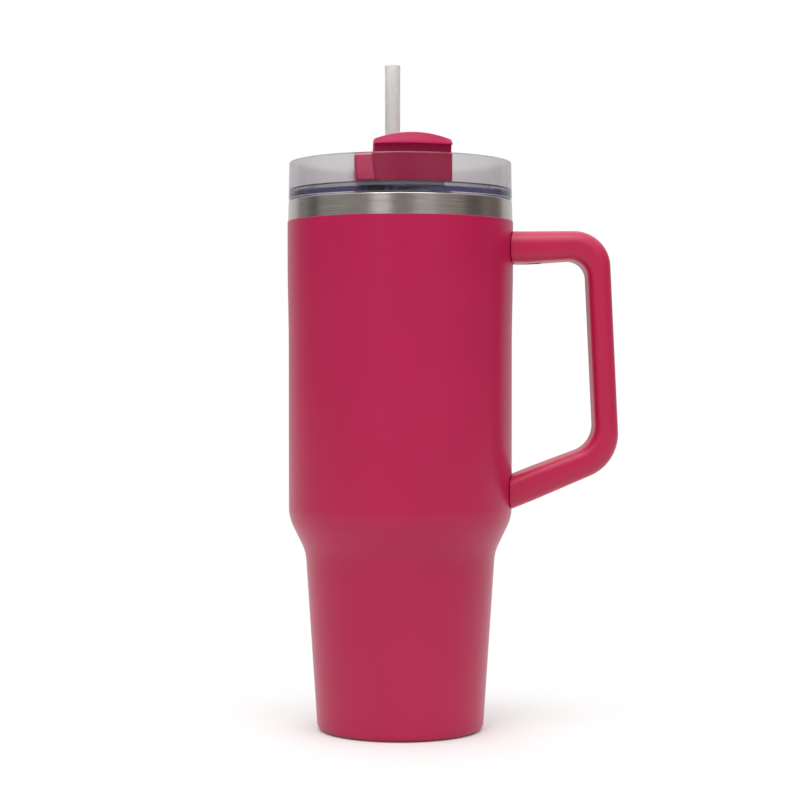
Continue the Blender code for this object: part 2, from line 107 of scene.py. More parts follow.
# Lid
LID_R = LID_HIGH.x
LID_TOP_Z = LID_HIGH.z
LID_WALL_R = LID_R - 2.7        # inside radius of the upright wall
FLOOR_Z = GROMMET_HIGH.z
FLOOR_UNDER_Z = FLOOR_Z - 3.0
CUT_PAST = 4                    # how far the floor's cutters reach past it
TRACK_Z = COVER_LOW.z - 0.95    # raised track that the cover slides on
TRACK_R = 40.6
STEP_Z = RIM_Z + 0.35           # step over the steel rim
STEP_R = MOUTH_R - 0.4
SKIRT_R = 44.6
SKIRT_IN_R = SKIRT_R - 0.6      # inside radius above the gasket
GROOVE_R = 43.0
GROOVE_IN_R = GROOVE_R - 1.6    # inside radius behind the gasket
GROOVE_LOW_Z = GASKET_LOW.z - GAP
GROOVE_HIGH_Z = GASKET_HIGH.z + GAP
GROMMET_HOLE_R = 6.2
PIN_R = 4.2
PIN_HEAD_R = 7.0
# Sip opening, the pocket above it and the pad in the pocket, in the cover's frame:
# inner radius, outer radius, first angle, last angle
SIP_OPENING = (29.0, 37.0, -102, -78)
SEAL_POCKET = (26.6, 39.9, -124.5, -69.5)
SEAL_PAD = (27.0, 39.5, -123.5, -70.5)
SEAL_CORNER = 1.6       # rounding of the pocket's and the pad's corners

# Rotating cover, in its own frame
COVER_TURN = 7.8        # degrees from the lid's front at rest
COVER_R = 45.3
COVER_HALF = 16.5       # half of its width
RECESS_R = 42.4         # the cover's front below the tab's lip
WING_X = 23.6           # the wing's outer end is this far to the left
WING_BACK_Y = -18.0     # back of the wing beside the cover
WING_TIP_Y = -29.5      # back of the wing at its outer end
WING_LEAN = 10.0        # how far the wing's face leans back at its top
WING_CORNER = 1.0       # rounding of its outer end
COVER_LOW_Z = COVER_LOW.z - 0.7
COVER_TOP_Z = 249.0
TAB_CREST_Z = COVER_HIGH.z
TAB_CORNER_Z = TAB_CREST_Z - 2.9
TAB_LIP_Z = TAB_CREST_Z - 5.3
TAB_END = 0.6           # rounding of the tab's ends
TAB_STEPS = 32

# Straw
STRAW_X = (STRAW_LOW.x + STRAW_HIGH.x) / 2
STRAW_Y = (STRAW_LOW.y + STRAW_HIGH.y) / 2
STRAW_PLACE_R = math.hypot(STRAW_X, STRAW_Y)        # from the lid's axis
STRAW_R = 3.45
STRAW_BORE_R = 2.7
STRAW_SLOT_CLEAR = 0.9  # between the straw and the sides of the cover's slot

# Handle, seen from -Y: (x, z, corner radius), and its fixings as in the CAD
HANDLE_OUTER = [(56.0, 218.5, 0), (91.15, 218.8, 16.0), (95.95, 117.1, 20.0), (58.0, 100.94, 0)]
HANDLE_INNER = [(56.0, 204.5, 0), (81.3, 206.3, 8.0), (85.1, 125.7, 12.0), (58.0, 115.49, 0)]
HANDLE_STEP = 3.0       # longest stretch between two rings
HANDLE_DEPTH = 27.0
HANDLE_SLIM = 4.0       # how much less deep the grip is than the arms
HANDLE_SLIM_X = 60.0    # where the arms start to get less deep
HANDLE_SLIM_LENGTH = 25.0       # and over what length
HANDLE_EDGE = 6.0       # rounding of the outer edges
HANDLE_EDGE_IN = 4.0    # rounding of the inner edges
HANDLE_CROWN = 0.06     # how much narrower the inner and outer sides get towards the edges
HANDLE_CLEAR = 0.12     # clearance to the cup
HANDLE_END_FILLET = 0.5
# An arm's frame: its place, its slope in degrees, and half of the arm's thickness
Arm = namedtuple("Arm", "x z slope half_thick")
UPPER_ARM = Arm(49.5, 211.2, 0.0, 6.75)
LOWER_ARM = Arm(49.0, 104.6, 21.9, 7.0)
# In an arm's frame: bracket socket, and the stepped hole for the screw and its plug
SOCKET_LOW, SOCKET_HIGH = (-8, -9.0, -2.5), (15.0, 9.0, 4.7)
SCREW_OUT = 9.0         # how far out the hole is
SCREW_R = 1.9           # radius of its narrow part
SCREW_END_Z = -1.5
SEAT_Z = -3.7           # where the screw's head sits
PLUG_HOLE_R = 3.6
PLUG_R = 3.3
PLUG_TOP_Z = -5.9


# Materials ---------------------------------------------------------------

RANGE_SOCKETS = ("From Min", "From Max", "To Min", "To Max")


def add_node(nodes, kind, **settings):
    """Add a shader node to a tree, with its settings."""
    node = nodes.new(kind)
    for key, value in settings.items():
        setattr(node, key, value)
    return node


class Look:
    """A procedural material under construction, with short ways to add nodes."""

    def __init__(self, name):
        self.material = bpy.data.materials.new(name)
        self.material.use_nodes = True
        self.nodes = self.material.node_tree.nodes
        self.links = self.material.node_tree.links
        self.shader = self.nodes["Principled BSDF"]
        self.place = self.add("ShaderNodeTexCoord").outputs["Object"]

    def add(self, kind, **settings):
        return add_node(self.nodes, kind, **settings)

    def set(self, **values):
        """Set sockets of the Principled shader: base_color=..., roughness=..."""
        for key, value in values.items():
            socket = self.shader.inputs[key.replace("_", " ").title().replace("Ior", "IOR")]
            socket.default_value = value

    def noise(self, scale, detail=4.0, roughness=0.5, vector=None):
        node = self.add("ShaderNodeTexNoise")
        node.inputs["Scale"].default_value = scale
        node.inputs["Detail"].default_value = detail
        node.inputs["Roughness"].default_value = roughness
        self.links.new(vector or self.place, node.inputs["Vector"])
        return node.outputs["Fac"]

    def math(self, operation, first, second=0.0):
        node = self.add("ShaderNodeMath", operation=operation)
        for socket, value in zip(node.inputs, (first, second)):
            if isinstance(value, (int, float)):
                socket.default_value = value
            else:
                self.links.new(value, socket)
        return node.outputs[0]

    def range(self, value, low, high, to_low, to_high):
        node = self.add("ShaderNodeMapRange")
        self.links.new(value, node.inputs["Value"])
        for key, number in zip(RANGE_SOCKETS, (low, high, to_low, to_high)):
            node.inputs[key].default_value = number
        return node.outputs["Result"]

    def colour(self, value, low, high):
        """Blend two colours by a value and feed the base colour."""
        node = self.add("ShaderNodeMix", data_type="RGBA")
        self.links.new(value, node.inputs["Factor"])
        node.inputs["A"].default_value = (*low, 1.0)
        node.inputs["B"].default_value = (*high, 1.0)
        self.links.new(node.outputs["Result"], self.shader.inputs["Base Color"])

    def spread(self, noise, low=0.0, high=1.0):
        """Stretch a noise, which lies mostly between 0.3 and 0.7, over a range."""
        return self.range(noise, 0.3, 0.7, low, high)

    def roughness(self, value):
        self.links.new(value, self.shader.inputs["Roughness"])

    def mix_surface(self, share, shader):
        """Mix another shader's output into the surface, by a share."""
        mix = self.add("ShaderNodeMixShader")
        self.links.new(share, mix.inputs["Fac"])
        self.links.new(self.shader.outputs["BSDF"], mix.inputs[1])
        self.links.new(shader, mix.inputs[2])
        self.links.new(mix.outputs["Shader"], self.nodes["Material Output"].inputs["Surface"])

    def bump(self, height, strength, distance):
        node = self.add("ShaderNodeBump")
        node.inputs["Strength"].default_value = strength
        node.inputs["Distance"].default_value = distance
        self.links.new(height, node.inputs["Height"])
        self.links.new(node.outputs["Normal"], self.shader.inputs["Normal"])


def powder_coat():
    """Low-gloss pink powder coat with a fine grain and slight drift in colour."""
    look = Look("powder_coat")
    drift = look.noise(22.0, 3.0)
    look.colour(look.spread(drift), (0.42, 0.006, 0.062), (0.45, 0.007, 0.068))
    grain = look.noise(3200.0, 2.0, 0.6)
    look.roughness(look.spread(grain, 0.30, 0.38))
    ripple = look.noise(700.0, 3.0, 0.55)
    both = look.math("ADD", look.math("MULTIPLY", grain, 0.5), ripple)
    look.bump(both, 0.10, 0.0001)
    look.set(specular_ior_level=0.38)
    return look.material


def pink_plastic(name, low, high, specular):
    """Satin moulded plastic with a spark-eroded grain, between two shades."""
    look = Look(name)
    drift = look.noise(30.0, 3.0)
    look.colour(look.spread(drift), low, high)
    grain = look.noise(2600.0, 3.0, 0.6)
    look.roughness(look.spread(grain, 0.34, 0.46))
    look.bump(grain, 0.12, 0.00008)
    look.set(specular_ior_level=specular)
    return look.material


def brushed_steel(name, around=True):
    """Steel brushed in rings round the axis, or in circles on a flat face."""
    look = Look(name)
    parts = look.add("ShaderNodeSeparateXYZ")
    look.links.new(look.place, parts.inputs[0])
    x, y, z = parts.outputs
    radius = look.math("SQRT", look.math("ADD", look.math("MULTIPLY", x, x), look.math("MULTIPLY", y, y)))
    stretch = 0.012
    vector = look.add("ShaderNodeCombineXYZ")
    look.links.new(look.math("MULTIPLY", x, stretch), vector.inputs[0])
    look.links.new(look.math("MULTIPLY", y, stretch), vector.inputs[1])
    look.links.new(z if around else radius, vector.inputs[2])
    lines = look.noise(5200.0, 4.0, 0.7, vector.outputs[0])
    broad = look.noise(900.0, 2.0, 0.6, vector.outputs[0])
    look.colour(look.range(lines, 0.25, 0.75, 0.0, 1.0), (0.50, 0.475, 0.445), (0.66, 0.635, 0.60))
    look.roughness(look.range(lines, 0.25, 0.75, 0.18, 0.28))
    look.bump(look.math("ADD", lines, look.math("MULTIPLY", broad, 0.6)), 0.25, 0.00003)
    look.set(metallic=1.0, anisotropic=0.6, anisotropic_rotation=0.25)
    return look.material


def clear_plastic():
    """Clear moulded plastic, very slightly grey, with faint moulding ripples."""
    look = Look("clear_plastic")
    smear = look.noise(60.0, 4.0)
    look.colour(look.spread(smear), (0.87, 0.855, 0.85), (0.885, 0.87, 0.865))
    look.roughness(look.spread(look.noise(500.0, 3.0), 0.11, 0.15))
    look.bump(look.noise(90.0, 2.0), 0.05, 0.0002)
    look.set(transmission_weight=1.0, ior=1.5)
    lamp_light = look.add("ShaderNodeBsdfTransparent")
    lamp_light.inputs["Color"].default_value = (0.92, 0.91, 0.925, 1.0)
    path = look.add("ShaderNodeLightPath")
    look.mix_surface(path.outputs["Is Shadow Ray"], lamp_light.outputs["BSDF"])
    tint = look.add("ShaderNodeVolumeAbsorption")
    tint.inputs["Color"].default_value = (0.63, 0.61, 0.76, 1.0)
    tint.inputs["Density"].default_value = 62.0
    look.links.new(tint.outputs["Volume"], look.nodes["Material Output"].inputs["Volume"])
    return look.material


def straw_plastic():
    """Translucent, pale grey extruded plastic with faint lines along it."""
    look = Look("straw_plastic")
    stretched = look.add("ShaderNodeMapping")
    stretched.inputs["Scale"].default_value = (1.0, 1.0, 0.02)
    look.links.new(look.place, stretched.inputs["Vector"])
    lines = look.noise(1400.0, 3.0, 0.6, stretched.outputs[0])
    look.colour(look.spread(lines), (0.92, 0.935, 0.92), (0.96, 0.975, 0.96))
    look.roughness(look.spread(lines, 0.25, 0.40))
    look.bump(lines, 0.1, 0.00005)
    look.set(transmission_weight=0.55, ior=1.49)
    return look.material


def grainy(name, noise, colours, rough, bump):
    """Return a look whose colour, roughness and bump all follow one noise."""
    look = Look(name)
    grain = look.noise(*noise)
    look.colour(look.spread(grain), *colours)
    look.roughness(look.spread(grain, *rough))
    look.bump(grain, *bump)
    return look


def silicone():
    """Milky silicone with a fine dusty surface."""
    colours = (0.74, 0.74, 0.73), (0.84, 0.84, 0.83)
    look = grainy("silicone", (1500.0, 4.0, 0.6), colours, (0.5, 0.68), (0.1, 0.00006))
    look.set(transmission_weight=0.25, subsurface_weight=0.2)
    return look.material


def dark_rubber():
    """Rough plugs over the screws, coloured dark wine-red, much darker than the pink handle round them."""
    colours = (0.10, 0.006, 0.018), (0.14, 0.009, 0.026)
    return grainy("dark_rubber", (1800.0, 3.0, 0.6), colours, (0.6, 0.75), (0.2, 0.0001)).material


def copper_foil():
    """Creased copper foil."""
    colours = (0.72, 0.36, 0.22), (0.86, 0.50, 0.34)
    look = grainy("copper_foil", (160.0, 6.0, 0.65), colours, (0.15, 0.30), (0.5, 0.0005))
    look.set(metallic=1.0)
    return look.material


def grey_metal():
    """Sintered, dull grey metal of the getter and the vacuum seal."""
    colours = (0.22, 0.22, 0.23), (0.36, 0.36, 0.38)
    look = grainy("grey_metal", (2400.0, 5.0, 0.7), colours, (0.5, 0.75), (0.4, 0.0001))
    look.set(metallic=0.9)
    return look.material


# Mesh tools --------------------------------------------------------------

def to_metres(mesh):
    """Turn a bmesh's millimetres into metres, and its faces outwards."""
    bmesh.ops.scale(mesh, vec=(MM, MM, MM), verts=mesh.verts)
    bmesh.ops.recalc_face_normals(mesh, faces=mesh.faces)
    if mesh.calc_volume(signed=True) < 0:
        bmesh.ops.reverse_faces(mesh, faces=mesh.faces)


def new_piece(name, mesh, look, body, stands_for):
    """Turn a bmesh in millimetres into a piece that rides on a body."""
    to_metres(mesh)
    data = bpy.data.meshes.new(name)
    mesh.to_mesh(data)
    mesh.free()
    data.materials.append(look)
    piece = bpy.data.objects.new(name, data)
    bpy.context.scene.collection.objects.link(piece)
    data.shade_smooth()
    data.set_sharp_from_angle(angle=SHARP_ANGLE)
    modifier = piece.modifiers.new("weighted_normals", "WEIGHTED_NORMAL")
    modifier.keep_sharp = True
    modifier.weight = FLATNESS
    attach(piece, body)
    for node in stands_for:
        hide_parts(node)
    return piece


def rounded(corners, steps=ARC_STEPS):
    """Return the points of a line whose (x, y, radius) corners are rounded by arcs."""
    points = []
    for index, (x, y, radius) in enumerate(corners):
        here = Vector((x, y))
        if radius == 0:
            points.append(here)
            continue
        before = (Vector(corners[index - 1][:2]) - here).normalized()
        after = (Vector(corners[(index + 1) % len(corners)][:2]) - here).normalized()
        half = before.angle(after) / 2
        centre = here + (before + after).normalized() * radius / math.sin(half)
        start = here + before * radius / math.tan(half) - centre
        end = here + after * radius / math.tan(half) - centre
        turn = start.angle_signed(end)
        for step in range(steps + 1):
            points.append(centre + Matrix.Rotation(-turn * step / steps, 2) @ start)
    return [(point.x, point.y) for point in points]


def arc(radius, start, end, steps, centre=(0.0, 0.0)):
    """Return points on a circle from one angle to another, in degrees."""
    points = []
    for step in range(steps + 1):
        angle = math.radians(start + (end - start) * step / steps)
        points.append((centre[0] + radius * math.cos(angle), centre[1] + radius * math.sin(angle)))
    return points


def quarter_round(radius, steps, first=0, turn=90):
    """Distances of a rounded edge's points from the two faces it joins: the first falls, the second grows."""
    points = []
    for step in range(first, steps + 1):
        angle = math.radians(turn * step / steps)
        points.append((radius * (1 - math.sin(angle)), radius * (1 - math.cos(angle))))
    return points


def turned(profile, sides=SIDES, centre=(0.0, 0.0)):
    """Turn an (r, z) outline about a vertical axis: a ring, or a solid if it starts on the axis."""
    mesh = bmesh.new()
    solid = profile[0][0] == 0
    rings = []
    for r, z in profile:
        if r == 0:
            rings.append([mesh.verts.new((centre[0], centre[1], z))] * sides)
            continue
        ring = []
        for x, y in arc(r, 0, 360, sides, centre)[:-1]:
            ring.append(mesh.verts.new((x, y, z)))
        rings.append(ring)
    pairs = list(zip(rings, rings[1:]))
    if not solid:
        pairs.append((rings[-1], rings[0]))
    for low, high in pairs:
        for side in range(sides):
            following = (side + 1) % sides
            loop = [low[side], low[following], high[following], high[side]]
            mesh.faces.new(list(dict.fromkeys(loop)))
    return mesh


def loft(sections):
    """Join equal closed sections into one solid with flat ends."""
    mesh = bmesh.new()
    rings = [[mesh.verts.new(point) for point in section] for section in sections]
    count = len(rings[0])
    for first, second in zip(rings, rings[1:]):
        for index in range(count):
            following = (index + 1) % count
            mesh.faces.new((first[index], first[following], second[following], second[index]))
    mesh.faces.new(rings[0])
    mesh.faces.new(rings[-1][::-1])
    return mesh


def prism(outline, low, high):
    """Extrude a closed (x, y) outline between two heights."""
    return loft([[(x, y, low) for x, y in outline], [(x, y, high) for x, y in outline]])


def block(low, high):
    """Return a box between two corners."""
    outline = [(low[0], low[1]), (high[0], low[1]), (high[0], high[1]), (low[0], high[1])]
    return prism(outline, low[2], high[2])


def moved(mesh, matrix):
    """Move a bmesh and return it."""
    bmesh.ops.transform(mesh, matrix=matrix, verts=mesh.verts)
    return mesh


def combine(target, mesh, operation="DIFFERENCE"):
    """Cut a bmesh in millimetres from a piece, or add one to it, and apply the result."""
    to_metres(mesh)
    data = bpy.data.meshes.new("tool")
    mesh.to_mesh(data)
    mesh.free()
    data.shade_smooth()
    data.materials.append(target.data.materials[0])
    tool = bpy.data.objects.new("tool", data)
    bpy.context.scene.collection.objects.link(tool)
    normals = target.modifiers["weighted_normals"]
    normals.show_viewport = False
    modifier = target.modifiers.new("combine", "BOOLEAN")
    modifier.operation = operation
    modifier.solver = "EXACT"
    modifier.object = tool
    bpy.context.view_layer.update()
    evaluated = target.evaluated_get(bpy.context.evaluated_depsgraph_get())
    result = bpy.data.meshes.new_from_object(evaluated)
    target.modifiers.remove(modifier)
    normals.show_viewport = True
    old = target.data
    target.data = result
    bpy.data.meshes.remove(old)
    bpy.data.objects.remove(tool)
    bpy.data.meshes.remove(data)
    result.shade_smooth()
    result.set_sharp_from_angle(angle=SHARP_ANGLE)


# Cup ---------------------------------------------------------------------

def lower_wall_r(z, inset=0.0):
    """Radius of the lower wall at a height, set inwards by a distance."""
    lean = math.radians(TAPER)
    return FOOT_R + z * math.tan(lean) - inset / math.cos(lean)


def wall_corners(inset, top_r):
    """Return the knee and the shoulder of the wall, set inwards by a distance."""
    slope = math.radians(SHOULDER_ANGLE)
    lean = math.radians(TAPER)
    shift = BODY_R - inset / math.cos(slope)
    shoulder_z = SHOULDER_Z - (shift - top_r) / math.tan(slope)
    rise = math.tan(slope) - math.tan(lean)
    knee_z = (lower_wall_r(0, inset) - shift + SHOULDER_Z * math.tan(slope)) / rise
    knee = (lower_wall_r(knee_z, inset), knee_z, SHOULDER_FILLET)
    shoulder = (top_r, shoulder_z, SHOULDER_FILLET)
    return [knee, shoulder]


def swelling(inset, top_z):
    """Smooth rise of the wall from the straight body to the neck."""
    points = []
    for step in range(SWELL_STEPS + 1):
        share = step / SWELL_STEPS
        ease = share * share * (3 - 2 * share)
        z = SWELL_END_Z + (SWELL_LOW_Z - SWELL_END_Z) * share
        points.append((BODY_R + SWELL * ease - inset, z, 0))
    points.append((NECK_R - inset, top_z, 0))
    return points


def side_wall(inset, top_z):
    """Corners of the cup's outside from the foot's opening to a height, set inwards."""
    fillet = FOOT_FILLET - inset
    corners = [(FOOT_OPENING_R, inset, 0), (lower_wall_r(inset, inset), inset, fillet)]
    return corners + wall_corners(inset, BODY_R - inset) + swelling(inset, top_z)


def paint_coat(look):
    """Powder coat on the steel shell, with a rounded upper edge."""
    edge = PAINT_Z - 0.35
    edge_r = 0.3
    outside = rounded(side_wall(0, edge)) + arc(edge_r, 0, 90, 5, (NECK_R - edge_r, edge))[1:]
    inside = rounded(side_wall(PAINT, PAINT_Z - 0.05))
    mesh = turned(outside + inside[::-1])
    new_piece("paint_coat", mesh, look, "cup", ["outer_shell"])


def steel_shell(look):
    """Outer shell, bare above the paint, with a rounded rim."""
    under = PAINT + 0.02
    inner_r = BODY_R - SHELL
    outside = side_wall(under, PAINT_Z - 1.0)
    outside += [(BARE_R, PAINT_Z - 0.2, 0), (BODY_R, RIM_Z, 0.4), (inner_r, RIM_Z, 0)]
    inside = side_wall(SHELL, SWELL_LOW_Z + 10)
    inside += [(inner_r, RIM_Z - 6, 0), (inner_r, RIM_Z, 0)]
    mesh = turned(rounded(outside)[:-1] + rounded(inside)[::-1])
    new_piece("steel_shell", mesh, look, "cup", ["outer_shell"])


def liner(steel):
    """Steel liner, with the lip that is welded to the shell."""
    floor_z = LINER_LOW.z + LINER
    inset = LINER_INSET + LINER
    lip_r = BODY_R - SHELL - 0.05
    inside = [(0, floor_z, 0), (lower_wall_r(floor_z, inset), floor_z, 6.0)] + wall_corners(inset, LINER_R)
    inside += [(LINER_R, NECK_Z, 2.0), (MOUTH_R, MOUTH_Z, 2.0), (MOUTH_R, RIM_Z, 0.3), (lip_r, RIM_Z, 0)]
    under_z = LINER_LOW.z
    outside = [(0, under_z, 0), (lower_wall_r(under_z, LINER_INSET), under_z, 6.6)]
    outside += wall_corners(LINER_INSET, LINER_R + LINER)
    outside += [(LINER_R + LINER, NECK_Z - 0.3, 2.0), (MOUTH_R + LINER, MOUTH_Z - 0.3, 2.0)]
    outside += [(MOUTH_R + LINER, RIM_Z - 1.5, 0), (lip_r, RIM_Z - 1.2, 0)]
    profile = rounded(inside) + rounded(outside)[::-1]
    new_piece("liner", turned(profile), steel, "cup", ["inner_liner"])


def base_plate(steel):
    """Flush steel disc on the underside, with a shallow pressed ring."""
    radius = CAP_HIGH.x
    profile = [(0, 0, 0)] + CAP_GROOVE + [(radius, 0, 0.25), (radius, CAP_HIGH.z, 0), (0, CAP_HIGH.z, 0)]
    new_piece("base_plate", turned(rounded(profile, 4)), steel, "cup", ["base_cap"])


# Handle ------------------------------------------------------------------

def handle_ring(outer, inner, inset=0.0, scale=1.0):
    """Rounded-rectangle section of the handle between two points of its side outline."""
    outer, inner = Vector((outer[0], 0, outer[1])), Vector((inner[0], 0, inner[1]))
    across = outer - inner
    half = across.length / 2 - inset
    middle = (outer + inner) / 2
    direction = across.normalized()
    along = min(1.0, max(0.0, (middle.x - HANDLE_SLIM_X) / HANDLE_SLIM_LENGTH))
    depth = HANDLE_DEPTH - HANDLE_SLIM * along * along * (3 - 2 * along)
    section = []
    side_steps = 8
    for quarter, (u, v) in enumerate([(1, 1), (-1, 1), (-1, -1), (1, -1)]):
        radius = HANDLE_EDGE if u > 0 else HANDLE_EDGE_IN
        edge = radius - inset
        centre = (u * (half - edge), v * (depth / 2 - radius))
        section += arc(edge, 90 * quarter, 90 * quarter + 90, 8, centre)
        if quarter in (1, 3):
            a, b = section[-1]
            section += [(a, b * (1 - 2 * step / side_steps)) for step in range(1, side_steps)]
    points = []
    for a, b in section:
        a *= 1 - HANDLE_CROWN * (2 * b / HANDLE_DEPTH) ** 2
        points.append(middle + (direction * a + Vector((0, b, 0))) * scale)
    return points


def to_cup(point, direction, radius):
    """Slide a point along a direction until it meets the cup's clearance."""
    a = direction.x ** 2
    b = point.x * direction.x
    c = point.x ** 2 + point.y ** 2 - radius ** 2
    root = math.sqrt(b * b - a * c)
    return point + direction * ((-b + root) / a)


def arm_end(outer, inner, direction, radius):
    """Rings that close an arm against the cup, from the middle of its end outwards."""
    rings = []
    for scale in (0.02, 0.25, 0.5, 0.75, 0.9):
        ring = handle_ring(outer, inner, HANDLE_END_FILLET, scale)
        rings.append([to_cup(point, direction, radius) for point in ring])
    for inset, along in quarter_round(HANDLE_END_FILLET, 6):
        ring = handle_ring(outer, inner, inset)
        rings.append([to_cup(point, direction, radius) + direction * along for point in ring])
    return rings


def arm_frame(arm):
    """Return the matrix of an arm's frame: X out along the arm, Z up across it."""
    return Matrix.Translation((arm.x, 0, arm.z)) @ Matrix.Rotation(math.radians(-arm.slope), 4, "Y")


def handle_outlines():
    """Return the handle's outer and inner side outlines, point for point."""
    outer = rounded(HANDLE_OUTER, 28)
    inner = rounded(HANDLE_INNER, 28)
    outer_all, inner_all = [outer[0]], [inner[0]]
    for (a, b), (c, d) in zip(zip(outer, outer[1:]), zip(inner, inner[1:])):
        count = max(1, math.ceil(max(math.dist(a, b), math.dist(c, d)) / HANDLE_STEP))
        for step in range(1, count + 1):
            share = step / count
            outer_all.append((a[0] + (b[0] - a[0]) * share, a[1] + (b[1] - a[1]) * share))
            inner_all.append((c[0] + (d[0] - c[0]) * share, c[1] + (d[1] - c[1]) * share))
    return outer_all, inner_all


def handle(look):
    """The moulded handle, with its bracket sockets and screw holes."""
    outer, inner = handle_outlines()
    sections = [handle_ring(a, b) for a, b in zip(outer, inner)]
    level = Vector((1, 0, 0))
    slope = math.radians(LOWER_ARM.slope)
    along = Vector((math.cos(slope), 0, math.sin(slope)))
    first = arm_end(outer[0], inner[0], level, NECK_R + HANDLE_CLEAR)
    last = arm_end(outer[-1], inner[-1], along, BODY_R + HANDLE_CLEAR)
    mesh = loft(first + sections + last[::-1])
    piece = new_piece("handle_grip", mesh, look, "cup", ["handle"])
    for arm in (UPPER_ARM, LOWER_ARM):
        place = arm_frame(arm)
        combine(piece, moved(block(SOCKET_LOW, SOCKET_HIGH), place))
        low = -arm.half_thick
        mouth_r = PLUG_HOLE_R + 0.3
        bore = [(0, low - 3), (mouth_r, low - 3), (mouth_r, low), (PLUG_HOLE_R, low + 0.3)]
        bore += [(PLUG_HOLE_R, SEAT_Z), (SCREW_R, SEAT_Z), (SCREW_R, SCREW_END_Z), (0, SCREW_END_Z)]
        combine(piece, moved(turned(bore, SMALL_SIDES, (SCREW_OUT, 0.0)), place))


def screw_plug(name, arm, look, node):
    """Domed plug over a screw."""
    low = -arm.half_thick + 0.15
    profile = [(0, low, 0), (PLUG_R, low, 0.4), (PLUG_R, PLUG_TOP_Z, 0.2), (0, PLUG_TOP_Z, 0)]
    mesh = moved(turned(rounded(profile, 6), SMALL_SIDES, (SCREW_OUT, 0.0)), arm_frame(arm))
    new_piece(name, mesh, look, "cup", [node])


# Lid ---------------------------------------------------------------------

def cover_frame():
    """Return the matrix of the cover's frame, whose front is -Y."""
    return Matrix.Rotation(math.radians(COVER_TURN), 4, "Z")


def edge_arc(radius, start, end, steps, first_fillet, last_fillet):
    """Corners of an arc about the origin, with fillets at its ends and a stretch free for them."""
    free = 3.0
    turn = math.copysign(math.degrees(free / radius), end - start)
    ends = arc(radius, start, end, 1)
    corners = [(*ends[0], first_fillet)]
    corners += [(x, y, 0) for x, y in arc(radius, start + turn, end - turn, steps)]
    corners.append((*ends[1], last_fillet))
    return corners


def sector(inner_r, outer_r, start, end, steps, radius=1.2):
    """Outline of a ring sector with rounded corners, with angles in degrees from +X."""
    corners = edge_arc(outer_r, start, end, steps, radius, radius)
    corners += edge_arc(inner_r, end, start, steps, radius, radius)
    return rounded(corners, 6)


def lid(look):
    """Clear lid: wall, floor, step on the rim and skirt with a gasket groove."""
    top_r = LID_R - 0.3
    bore_r = PIN_R + GAP
    corners = [(bore_r, FLOOR_Z, 0.3), (TRACK_R, FLOOR_Z, 0.6), (TRACK_R + 0.5, TRACK_Z, 0.4)]
    corners += [(LID_WALL_R, TRACK_Z, 0.12), (LID_WALL_R, LID_TOP_Z, 0.6), (top_r, LID_TOP_Z, 0.7)]
    corners += [(LID_R, STEP_Z, 0.7), (STEP_R, STEP_Z, 0.2), (STEP_R, MOUTH_Z + 0.3, 1.0)]
    corners += [(SKIRT_R, NECK_Z + 0.4, 1.0), (SKIRT_R, GROOVE_HIGH_Z, 0.2), (GROOVE_R, GROOVE_HIGH_Z, 0.2)]
    corners += [(GROOVE_R, GROOVE_LOW_Z, 0.2), (SKIRT_R, GROOVE_LOW_Z, 0.2), (SKIRT_R, LID_LOW.z, 0.6)]
    corners += [(GROOVE_IN_R, LID_LOW.z, 0.6), (GROOVE_IN_R, NECK_Z - 0.4, 2.0), (SKIRT_IN_R, MOUTH_Z, 2.0)]
    corners += [(SKIRT_IN_R, FLOOR_UNDER_Z, 1.0), (bore_r, FLOOR_UNDER_Z, 0.3)]
    mesh = turned(rounded(corners, 6))
    piece = new_piece("lid_clear", mesh, look, "lid", ["lid_body"])
    low, high = FLOOR_UNDER_Z - CUT_PAST, FLOOR_Z + CUT_PAST
    hole = [(0, low), (GROMMET_HOLE_R, low), (GROMMET_HOLE_R, high), (0, high)]
    combine(piece, turned(hole, SMALL_SIDES, (STRAW_X, STRAW_Y)))
    combine(piece, moved(prism(sector(*SIP_OPENING, 12), low, high), cover_frame()))


def gasket(look):
    """Double-lipped silicone ring in the skirt's groove."""
    low, high = GASKET_LOW.z, GASKET_HIGH.z
    third = (high - low) / 3
    lip_r = GASKET_HIGH.x
    corners = [(GROOVE_R + GAP, low, 0.2), (lip_r - 0.5, low, 0.2), (lip_r, low + third / 2, 0.2)]
    corners += [(lip_r - 0.6, low + 1.3 * third, 0.2), (lip_r, low + 2 * third, 0.2)]
    corners += [(lip_r - 0.5, high, 0.2), (GROOVE_R + GAP, high, 0.2)]
    new_piece("gasket_ring", turned(rounded(corners, 4)), look, "lid", ["lid_gasket"])


def grommet(look):
    """Silicone grommet round the straw."""
    bore, hole, low = STRAW_R + GAP, GROMMET_HOLE_R - GAP, FLOOR_UNDER_Z - GAP
    corners = [(bore, low - 1.6, 0.3), (hole + 1.7, low - 1.6, 0.5), (hole + 1.7, low, 0.3), (hole, low, 0.1)]
    corners += [(hole, FLOOR_Z, 0.3), (bore + 0.8, FLOOR_Z, 0.2), (bore, FLOOR_Z - 0.8, 0.2)]
    mesh = turned(rounded(corners, 5), SMALL_SIDES, (STRAW_X, STRAW_Y))
    new_piece("grommet", mesh, look, "lid", ["straw_grommet"])


def straw(look):
    """Straight straw with a slightly flared, rounded top."""
    flare = 0.1
    low, top = STRAW_LOW.z, STRAW_HIGH.z
    corners = [(STRAW_R, low, 0.15), (STRAW_R, top - 5, 3.0), (STRAW_R + flare, top, 0.25)]
    corners += [(STRAW_BORE_R + flare, top, 0.25), (STRAW_BORE_R, top - 5, 3.0), (STRAW_BORE_R, low, 0.15)]
    mesh = turned(rounded(corners, 5), SMALL_SIDES, (STRAW_X, STRAW_Y))
    new_piece("drinking_straw", mesh, look, "straw", ["straw"])


# Rotating cover ----------------------------------------------------------

